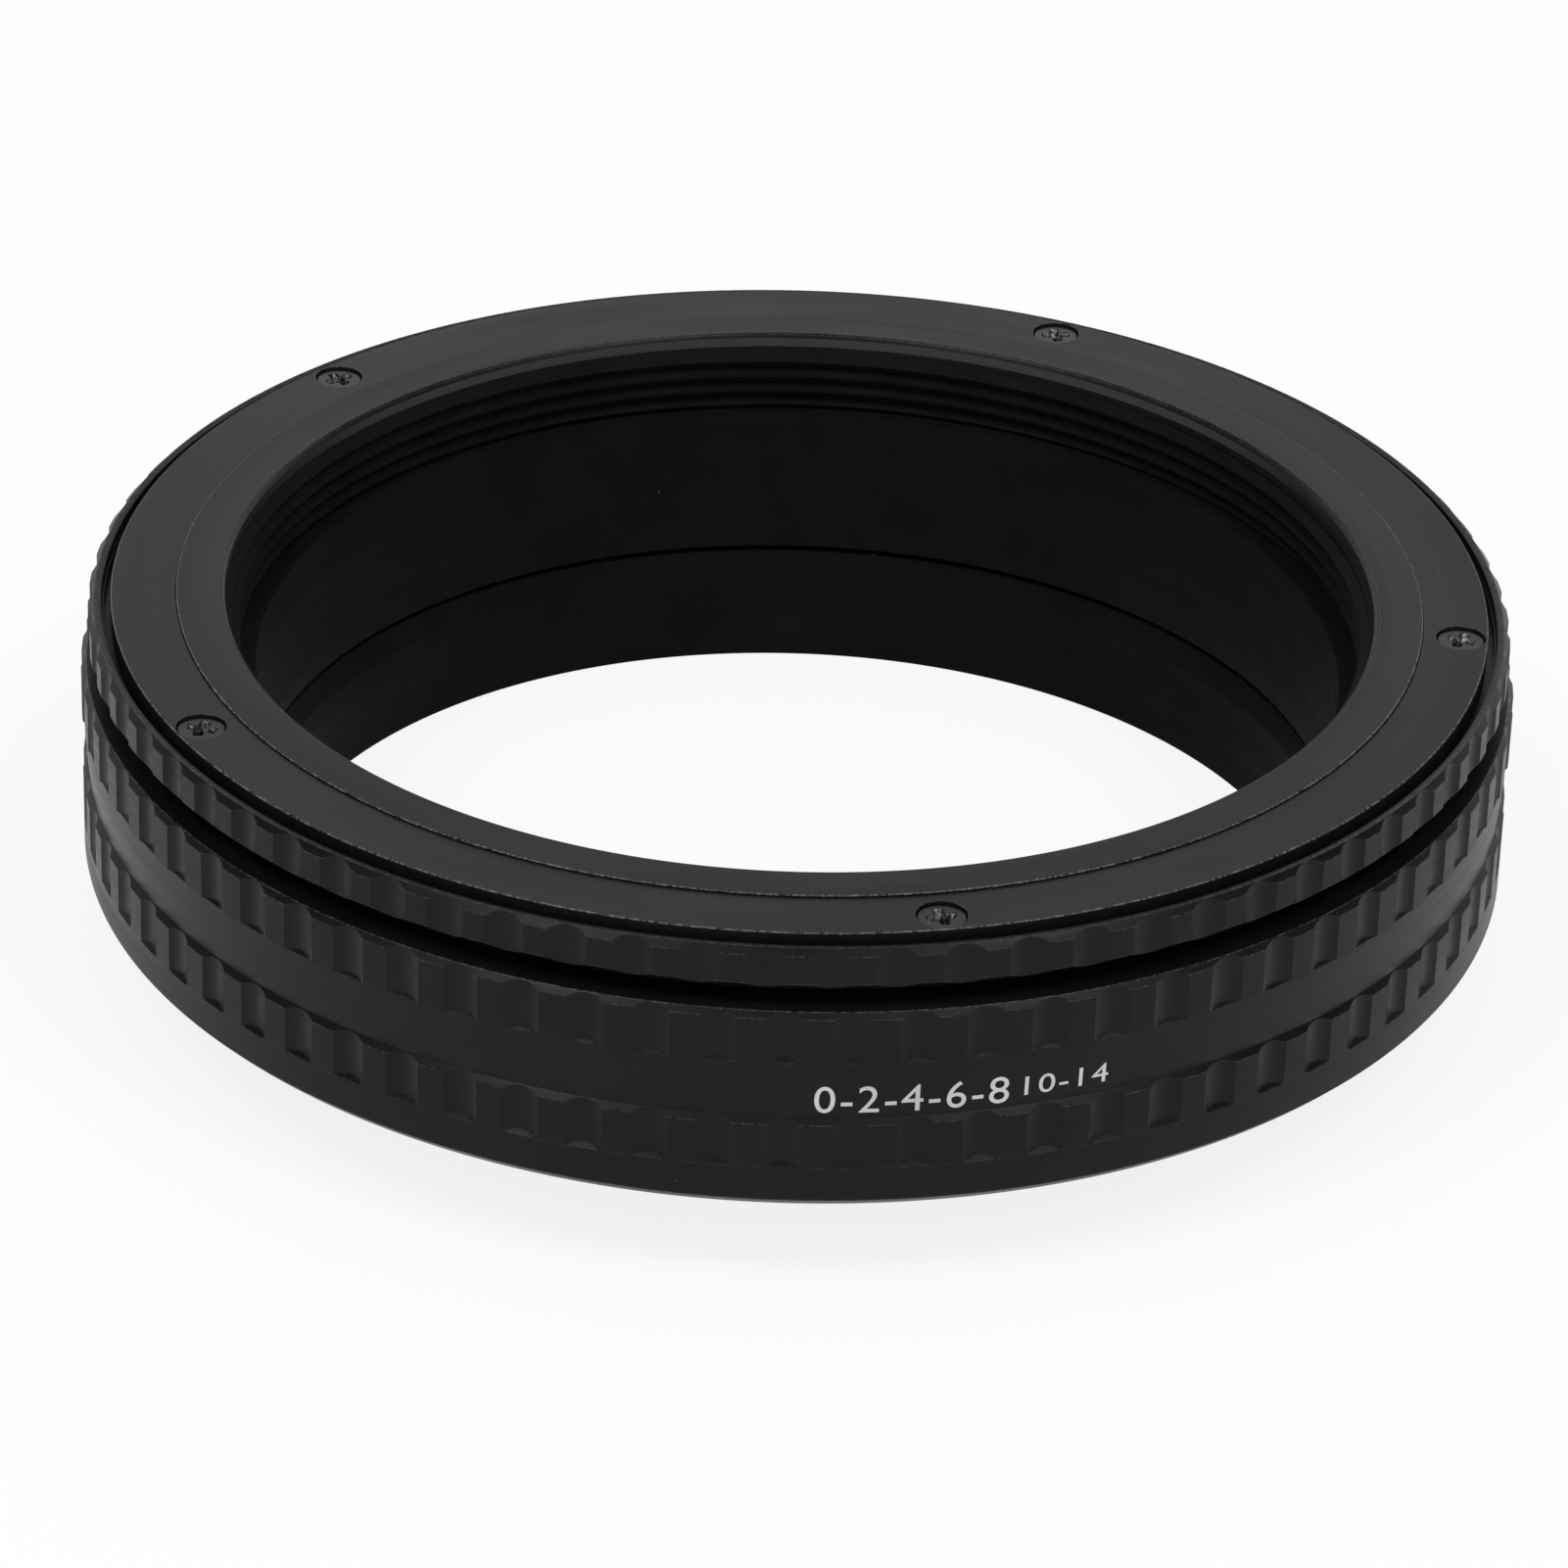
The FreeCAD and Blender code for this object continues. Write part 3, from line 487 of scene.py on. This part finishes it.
def scallop_columns(radius, axis, first=0.0):
    """Angles round a scalloped ring for each radius: nine over every scallop, two on every land.
    Half a scallop's angle is acos((axis^2 + radius^2 - cutter^2) / (2 axis radius)), so that its
    edge stays on a column of the grid where it runs out through a chamfer."""
    pitch = 360 / SCALLOPS
    radius = np.reshape(radius, (-1, 1, 1))
    cosine = (axis**2 + radius**2 - CUTTER**2) / (2 * axis * radius)
    half = np.degrees(np.arccos(np.minimum(cosine, 1)))
    land = half + (pitch - 2 * half) * np.array((1, 2)) / 3
    each = np.concatenate([half * np.linspace(-1, 1, 9), land], axis=2)
    angles = (first + np.arange(SCALLOPS)[:, None] * pitch + each).reshape(len(half), -1)
    return np.hstack([angles, angles[:, :1] + 360])


def scalloped(angles, r, axis, first=0.0, floor=0.0):
    """The smaller of r and what the cutters leave: axis cos(a) - sqrt(cutter^2 - (axis sin(a))^2)
    within a scallop, a from its middle, or floor where the cutter's end left more."""
    pitch = 360 / SCALLOPS
    a = np.radians((angles - first + pitch / 2) % pitch - pitch / 2)
    under = CUTTER**2 - (axis * np.sin(a)) ** 2
    cut = np.where(under > 0, axis * np.cos(a) - np.sqrt(np.maximum(under, 0)), np.inf)
    return np.minimum(r, np.maximum(cut, floor))


def fluted(rows, axis, settle, first=0.0, end=(0.0, 0.0, 1.0)):
    """The rows of an outline carried round with the scallops taken out. Rows nearer the axis than
    settle go back to the columns of the widest row. The cutter's cone leaves the floor
    radius - slope (z - height) above the lower end of the cut, end being (radius, height, slope),
    and edges stay marked only where nothing was cut away."""
    r, z, edge = rows.T[:, :, None]
    widest = r.max()
    angles = scallop_columns(np.where(r > settle, r, widest), axis, first)
    floor = end[0] - end[2] * (z - end[1])
    left = scalloped(angles, r, axis, first, floor)
    return ring(angles, left, z, edge * (left > r - 0.001))


def run_out(radius, height, depth, ease=0.04):
    """Corners of a 45 degree chamfer from radius down to depth, closer together where the
    scallops end in it."""
    drop = depth * (1 - np.linspace(1, 0, 7)[1:] ** 2)
    return [(radius, height, ease)] + [(radius - d, height + d) for d in drop]


def painted_edge_highlight(rows, beyond, low, high, mark):
    """The rows farther out than beyond and between two heights marked with mark, for a painted
    highlight line along that edge."""
    r, z, edge = rows.T
    highlit = (r > beyond) & (z > low) & (z < high)
    return np.stack([r, z, np.maximum(edge, mark * highlit)], axis=1)


def focus_ring():
    wide, deep, low_row, high_row = 40.95, 0.28, 7.4, 13.86
    axis = wide - deep + CUTTER
    around = scallop_columns(wide, axis)[0]
    holes, circle = np.arange(6) * 60, 36.45
    tap = np.array([(0.45, 16.1, 0), (0.45, 14.9, 0)])
    # The mark on the lower row's edge is a painted highlight: a light line along the ledge where
    # the lower scallops end.
    lower = [(wide, low_row - 0.03, 0), (wide, low_row, 0.3)]
    lower += [(wide, low_row + rise, 0) for rise in (0.07, 0.14, 0.21, 0.28, 1.1)]
    lower_top = turned((wide, 8.5), *run_out(wide, 10.07, deep), (40.63, 10.39), (40.62, 10.4))
    # The marks on the first two rows are a painted highlight line along the band's top edge and the
    # ledge where the upper scallops end.
    upper = [(40.85, high_row, 0.3), (wide, high_row, 0.1)]
    upper += [(wide, high_row + rise, 0) for rise in (0.06, 0.12, 0.18, 0.64)]
    upper_top = turned(
        (wide, 14.5), *run_out(wide, 16.58, deep), (40.64, 16.89), (40.63, 16.9), (40.55, 16.9)
    )
    # Painted highlight line along the top edge of the upper chamfer.
    upper_top = painted_edge_highlight(upper_top, beyond=40.6, low=16.885, high=17.0, mark=1.0)
    grids = [
        lathe(around, turned((38.3, 4.9), (40.45, 4.9, 0.05), (wide, 5.4, 0.06), (wide, 7.37))),
        fluted(np.array(lower), axis, settle=40.65, end=(wide, low_row, 1)),
        fluted(lower_top, axis, settle=40.65),
        lathe(around, turned((40.62, 10.4), *BAND, (40.85, high_row))),
        fluted(np.array(upper), axis, settle=40.85, end=(40.85, high_row, 1)),
        fluted(upper_top, axis, settle=40.65),
        lathe(around, turned((40.55, 16.9), (37.65, 16.9, 0.05), (37.65, 16.1))),
        lathe(around, turned((35.75, 16.1), (35.75, 14.9))),
        lathe(around, turned((38.2, 14.9), (38.2, 4.9, 0.1), (38.3, 4.9))),
    ]
    grids += pierced(around, 35.75, 37.65, holes, tap, circle, reach=1.15)
    grids += pierced(around, 35.75, 38.2, holes, tap[1:], circle, reach=1.15)
    return skin("scalloped_focus_ring", grids)


dress(focus_ring(), GRIP_BLACK, "focus", "focus_ring", slot="grip_aluminium")


# Figures on the plain band: a plain count of the travel, filled with white enamel in the real
# finish. They are cut from the flat letters of the built-in font and bent round the band.
WHITE_ENAMEL = finish(
    "white_enamel", (0.6, 0.6, 0.59), 0.45, specular=0.3,
    marks=(0.3, 0.1), grain=(0.05, 1.0), specks=0.0, wear_and_highlight=0.0,
)


def figures(text, tall, wide, start, foot):
    """Figures cut across at short steps, made tall and wide and bent round the band: y becomes the
    height on it and x the arc, angle = start + x / radius. The radius follows the band's slope
    and stands a hundredth of a millimetre proud of it."""
    line = bpy.data.curves.new(text, "FONT")
    line.body, line.resolution_u = text, 4
    line.space_character = 1.1
    flat = bpy.data.objects.new(text, line)
    bpy.context.scene.collection.objects.link(flat)
    outlines = flat.evaluated_get(bpy.context.evaluated_depsgraph_get())
    mesh = bpy.data.meshes.new_from_object(outlines)
    bpy.data.objects.remove(flat)
    cut = bmesh.new()
    cut.from_mesh(mesh)
    for x in np.arange(0.1, 8, 0.2):
        whole = cut.verts[:] + cut.edges[:] + cut.faces[:]
        bmesh.ops.bisect_plane(cut, geom=whole, plane_co=(x, 0, 0), plane_no=(1, 0, 0))
    bmesh.ops.remove_doubles(cut, verts=cut.verts, dist=0.001)
    bmesh.ops.triangulate(cut, faces=cut.faces)
    cut.to_mesh(mesh)
    cut.free()
    at = np.empty(len(mesh.vertices) * 3, np.float32)
    mesh.vertices.foreach_get("co", at)
    x, y, _ = at.reshape(-1, 3).astype(float).T
    z = foot + (y - y.min()) * tall / (y.max() - y.min())
    (r_foot, z_foot), (r_top, z_top) = BAND
    r = r_foot + (z - z_foot) * (r_top - r_foot) / (z_top - z_foot) + 0.012
    a = np.radians(start) + (x - x.min()) * wide / (x.max() - x.min()) / r
    bent = np.stack([r * np.cos(a), r * np.sin(a), z], axis=1) * MM
    mesh.vertices.foreach_set("co", bent.astype(np.float32).ravel())
    mesh.update()
    return mesh


def travel_figures():
    both = bmesh.new()
    large = figures("0-2-4-6-8", tall=1.7, wide=10.5, start=-87.7, foot=10.7)
    small = figures("10-14", tall=1.2, wide=4.8, start=-71.7, foot=11.0)
    for mesh in (large, small):
        both.from_mesh(mesh)
        bpy.data.meshes.remove(mesh)
    bmesh.ops.solidify(both, geom=both.faces[:], thickness=0.02 * MM)
    bmesh.ops.recalc_face_normals(both, faces=both.faces)
    mesh = bpy.data.meshes.new("travel_figures")
    both.to_mesh(mesh)
    both.free()
    piece = bpy.data.objects.new("travel_figures", mesh)
    bpy.context.scene.collection.objects.link(piece)
    return piece


painted = travel_figures()
painted.data.materials.append(WHITE_ENAMEL)
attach(painted, "focus")


# Front barrel: the turned tube that slides out of the focus ring. Eight left-handed ridges wind
# round its outside, three milled slots take the keys, and its flange carries the front group.
# The anodising is matt and very black, so that the bore throws no light back.
PLATE_SCREWS, PLATE_CIRCLE = 282.3 + 72 * np.arange(5), 37.67


def barrel():
    slots, half_width, slot_floor, slot_end = (0, 120, 240), 2.6, 33.25, 16.0
    half = math.degrees(math.asin(half_width / 33.8))
    around = columns(0.5, np.add.outer(slots, (-half, half)).ravel())
    slotted = in_slots(around, slots, half)
    apart = np.radians((around + 60) % 120 - 60)
    floor = slot_floor / np.cos(apart)
    foot, head, face = 7.4, 17.3, 18.5
    tap = np.array([(0.8, face, 0), (0.8, head, 0)])

    def milled(r, z, a):
        """The slots' flat floor up to their end, and the ridges' lead-in at both ends."""
        here = np.interp(a, around, slotted) > 0.5
        r = np.minimum(np.minimum(r, 33.9 + (z - foot)), 34.0 + (head - z))
        return np.where(here & (z < slot_end), np.interp(a, around, floor), r)

    form = ridge_form(crest=34.5, root=34.1)
    grids = thread(around, foot, head, RIDGE_PITCH, form, milled, RIDGE_STARTS, hand=-1)
    end = turned((33.9, foot), (33.6, foot), (33.2, foot))
    grids.append(lathe(around, end, lambda r, z: np.where(slotted, np.minimum(r, floor), r)))
    inside = turned(
        (33.2, foot), (31.0, foot, 0.06), (31.0, 16.3, 0.05), (33.6, 16.3), (33.6, face)
    )
    grids.append(lathe(around, inside))
    grids += pierced(around, 33.6, 38.95, PLATE_SCREWS, tap, PLATE_CIRCLE, reach=2.0)
    rim = turned((38.95, face), (39.0, face, 0.05), (39.0, head, 0.05), (38.95, head))
    grids.append(lathe(around, rim))
    grids += pierced(around, 34.0, 38.95, PLATE_SCREWS, tap[1:], PLATE_CIRCLE, reach=2.0)
    return skin("ridged_barrel", grids)


dress(barrel(), BLACK_MATT, "front", "front_barrel")


# Ring with the front thread: turned aluminium with the female thread M65 x 1 inside, its rim a
# little proud of the plate that clamps it by a narrow step.
def mount_ring():
    crest, root, mouth, foot, head = 32.0, 32.55, 32.75, 16.3, 20.2
    around = columns(0.5)
    grids = thread(
        around, foot, head, FINE_PITCH, fine_thread(crest, root),
        lambda r, z, a: np.maximum(np.maximum(r, mouth - (head - z)), root - 2 * (z - foot)),
    )
    outside = turned(
        (mouth, head), (mouth, 20.75), (32.95, 20.9, 0.02), (33.02, 21.0, 0.03),
        (35.45, 21.0, 0.02), (35.5, 20.95, 0.02), (35.5, 19.37), (36.3, 19.37, 0.05),
        (36.3, 18.5, 0.05), (33.55, 18.5), (33.55, foot, 0.05), (root, foot),
    )
    outside[outside[:, 0] < 33.2, 2] *= 0.4  # the mouth's edges get a fainter painted highlight line than the rim's
    # Painted highlight line along the rim's outer top edge.
    outside = painted_edge_highlight(outside, beyond=35, low=20.94, high=20.999, mark=0.5)
    grids.append(lathe(around, outside))
    return skin("threaded_mount_ring", grids)


# The full edge mask on this finish paints highlight lines on the eased edges of the rim and mouth.
RIM_BLACK = finish(
    "black_turned_rim", (0.006, 0.006, 0.0062), 0.39, specular=0.22,
    marks=(0.2, 0.25), grain=(0.06, 0.45), wear_and_highlight=1.0,
)
MOUTH_BLACK = finish(
    "black_bright_turned_mouth", (0.008, 0.008, 0.0082), 0.34, specular=0.55, wear_and_highlight=0.0
)
threaded = mount_ring()
dress(threaded, RIM_BLACK, "front", "mount_ring")
recoat(threaded, BLACK_MATT, within=32.8, high=20.2)
recoat(threaded, MOUTH_BLACK, within=32.8, low=20.2)


# Front grip: the thin ring round the plate with 72 scallops cut right through its height, clamped
# between the plate and the barrel's flange. Five clearance holes let the plate's screws pass, and
# its rim falls a little inwards to a narrow groove.
def front_grip():
    wide, deep, foot, first = 40.5, 0.33, 18.44, 3.3
    axis = wide - deep + CUTTER
    around = scallop_columns(wide, axis, first)[0]
    bore = np.array([(0.83, 19.37, 0), (0.83, 18.5, 0)])
    chamfer = [corner[:2] for corner in run_out(wide, 0, deep)[:0:-1]]
    below = [(r, foot - drop) for r, drop in chamfer]
    outside = turned(
        (39.15, 18.5), (39.15, 18.1, 0.03), (40.1, 18.1), (40.15, 18.1), *below, (wide, foot, 0.04),
        *run_out(wide, 20.15, deep), (40.15, 20.5), (39.76, 20.45), (39.72, 20.3), (39.72, 19.9),
        (39.62, 19.9), (39.62, 19.37),
    )
    # Painted highlight line along the rim's outer top edge.
    outside = painted_edge_highlight(outside, beyond=40.1, low=20.49, high=20.51, mark=0.6)
    grids = [
        fluted(outside, axis, settle=40.16, first=first),
        lathe(around, turned((36.35, 19.37), (36.35, 18.5))),
    ]
    grids += pierced(around, 36.35, 39.62, PLATE_SCREWS, bore, PLATE_CIRCLE, reach=1.6)
    grids += pierced(around, 36.35, 39.15, PLATE_SCREWS, bore[1:], PLATE_CIRCLE, reach=1.6)
    return skin("scalloped_front_grip", grids)


dress(front_grip(), GRIP_BLACK, "front", "front_grip_ring", slot="grip_aluminium")


# Top plate: a flat turned ring, finely blasted before it was anodised, that clamps the threaded
# ring and the front grip to the barrel. Five countersunk holes take its screws.
# The full edge mask on this finish paints highlight lines on the plate's eased edges and hole rims.
PLATE_BLACK = finish(
    "blasted_black_plate", (0.007, 0.007, 0.0072), 0.39, specular=0.22,
    marks=(0.25, 0.25), grain=(0.06, 0.5), specks=0.04, wear_and_highlight=1.0,
)


def plate():
    face, back = 20.87, 19.37
    around = columns(0.5)
    sunk = turned(
        (1.46, face), (1.41, face, 0.02), (1.38, 20.5, 0.02), (0.83, 20.2, 0.02), (0.83, back)
    )
    grids = pierced(around, 35.61, 39.1, PLATE_SCREWS, sunk, PLATE_CIRCLE, reach=2.6)
    outside = turned(
        (39.1, face), (39.15, face, 0.02), (39.2, 20.82, 0.02), (39.2, back, 0.03), (39.16, back)
    )
    # Painted highlight line along the plate's outer top edge.
    outside = painted_edge_highlight(outside, beyond=35, low=20.81, high=20.869, mark=0.4)
    grids.append(lathe(around, outside))
    grids += pierced(around, 35.61, 39.16, PLATE_SCREWS, sunk[-1:], PLATE_CIRCLE, reach=2.6)
    inside = turned((35.61, back), (35.55, back, 0.03), (35.55, face, 0.02), (35.61, face))
    grids.append(lathe(around, inside))
    return skin("blasted_plate", grids)


dress(plate(), PLATE_BLACK, "front", "top_plate", slot="plate_aluminium")


# Plate screws: five small countersunk screws of black oxide steel, turned down into the barrel's
# flange until their heads lie just under the plate's face, each with its cross where it stopped.
def cross_recess(x, y):
    """A pressed cross, from 0 at its rim to 1 at its flat: two arms, each falling from its sides
    and its ends."""

    def arm(u, v):
        sides, ends = (0.3 - np.abs(v)) / 0.14, (0.86 - np.abs(u)) / 0.34
        return np.clip(sides, 0, 1) * np.clip(ends, 0, 1)

    return np.maximum(arm(x, y), arm(y, x))


def plate_screws():
    head, recess = 20.71, 0.5
    around = np.linspace(0, 360, 97)
    radii = np.concatenate([np.linspace(0, 0.95, 28), (1.03, 1.12, 1.2, 1.27)])
    x = np.multiply.outer(radii, np.cos(np.radians(around)))
    y = np.multiply.outer(radii, np.sin(np.radians(around)))
    side = turned(
        (1.27, head), (1.32, 20.66, 0.01), (1.32, 20.52, 0.02), (0.78, 20.22, 0.03),
        (0.78, 17.7, 0.05), (0.65, 17.57, 0.02), (0, 17.57),
    )
    grids = []
    for place, spin in zip(np.radians(PLATE_SCREWS), np.radians((20, 65, 10, 40, 75))):
        c, s = math.cos(spin), math.sin(spin)
        deep = cross_recess(c * x + s * y, c * y - s * x)
        # The fourth value marks the cross's sloping walls, most halfway down, for painted glints.
        top = np.stack([x, y, head - recess * deep, 4 * deep * (1 - deep)], axis=-1)
        centre = (PLATE_CIRCLE * math.cos(place), PLATE_CIRCLE * math.sin(place), 0, 0)
        grids += [top + centre, lathe(around, side) + centre]
    return skin("cross_head_plate_screws", grids, crease=35)


dress(plate_screws(), BLACK_OXIDE, "front", "plate_screws", slot="screw_steel")


# Table and studio: a wide white table that hides nothing from below, white surroundings, and two
# large soft lamps above the front, one on each side.
def looking_rays(tree):
    """The light path's outputs, and 1 on rays that show a thing to the camera, be it straight, in
    a reflection or through glass."""
    seen = put(tree, "LightPath").outputs
    mirrored = calc(tree, "MAXIMUM", seen["Is Camera Ray"], seen["Is Glossy Ray"])
    return seen, calc(tree, "MAXIMUM", mirrored, seen["Is Transmission Ray"])


def table():
    """A square sheet a twentieth of a millimetre under the thread's end. Most of its white is its
    own light, so that it stays plain, and from below it is clear."""
    mesh = bpy.data.meshes.new("table")
    side, top = 3, -0.05 * MM
    corners = [(-side, -side, top), (side, -side, top), (side, side, top), (-side, side, top)]
    mesh.from_pydata(corners, [], [(0, 1, 2, 3)])
    floor = bpy.data.objects.new("table", mesh)
    bpy.context.scene.collection.objects.link(floor)
    paper = bpy.data.materials.new("white_paper")
    paper.use_nodes = True
    tree = paper.node_tree
    tree.nodes.clear()
    looked = looking_rays(tree)[1]
    share = calc(tree, "MULTIPLY", looked, 0.85)
    matt = put(tree, "BsdfDiffuse", {"Color": (0.93, 0.93, 0.93, 1)}).outputs[0]
    white = put(tree, "Emission", {"Color": (1, 1, 1, 1), "Strength": 1.0}).outputs[0]
    mixed = put(tree, "MixShader", {0: share, 1: matt, 2: white}).outputs[0]
    below = put(tree, "NewGeometry").outputs["Backfacing"]
    clear = put(tree, "BsdfTransparent").outputs[0]
    sheer = put(tree, "MixShader", {0: below, 1: mixed, 2: clear}).outputs[0]
    put(tree, "OutputMaterial", {"Surface": sheer})
    mesh.materials.append(paper)


table()


def surroundings():
    """White to the camera, and an even 0.6 of it to matt surfaces. In a reflection it is white
    near the horizon and in directions whose |y| is well over their z, and almost black
    elsewhere."""
    world = bpy.data.worlds.new("white_room")
    bpy.context.scene.world = world
    world.use_nodes = True
    tree = world.node_tree
    tree.nodes.clear()
    seen, looked = looking_rays(tree)
    way = put(tree, "SeparateXYZ", {0: put(tree, "TexCoord").outputs["Generated"]}).outputs
    depth = put(tree, "Math", {0: way[1]}, operation="ABSOLUTE").outputs[0]
    under = calc(tree, "SUBTRACT", depth, way[2])
    sweep = put(tree, "MapRange", {0: under, 1: -0.2, 2: 0.46}).outputs[0]
    horizon = put(tree, "MapRange", {0: way[2], 1: 0.32, 2: 0.12}).outputs[0]
    lit = calc(tree, "MAXIMUM", sweep, horizon)
    mirror = put(tree, "MapRange", {0: lit, 3: 0.04, 4: 1.0}).outputs[0]
    back = calc(tree, "MAXIMUM", mirror, seen["Is Camera Ray"])
    level = put(tree, "Mix", {0: looked, 2: 0.6, 3: back}).outputs[0]
    glow = put(tree, "Background", {"Color": (1, 1, 1, 1), "Strength": level}).outputs[0]
    put(tree, "OutputWorld", {"Surface": glow})


surroundings()


def soft_lamp(name, power, size, place, aim=(0, 0, 0.01)):
    """A square lamp of side size at place, facing aim."""
    light = bpy.data.lights.new(name, "AREA")
    light.energy, light.size = power, size
    lamp = bpy.data.objects.new(name, light)
    lamp.location = place
    bpy.context.scene.collection.objects.link(lamp)
    back = np.subtract(place, aim)
    flat = math.hypot(back[0], back[1])
    lamp.rotation_euler = (math.atan2(flat, back[2]), 0, math.atan2(back[0], -back[1]))


soft_lamp("left_lamp", power=2.0, size=0.3, place=(-0.36, -0.32, 0.76))
soft_lamp("right_lamp", power=2.0, size=0.3, place=(0.36, -0.32, 0.76))


# Camera: a long lens from above and in front, where the photograph was taken. Its place and turn
# were fitted to the rings seen there.
lens = bpy.data.cameras.new("camera")
lens.sensor_width, lens.lens = 36.0, 164.67
lens.clip_start, lens.clip_end = 0.01, 20.0
camera = bpy.data.objects.new("camera", lens)
bpy.context.scene.collection.objects.link(camera)
camera.location = (0, -0.36294, 0.21051)
camera.rotation_euler = [math.radians(a) for a in (60.8096, -1.6238, 0.995)]
bpy.context.scene.camera = camera
bpy.context.scene.view_settings.view_transform = "Standard"
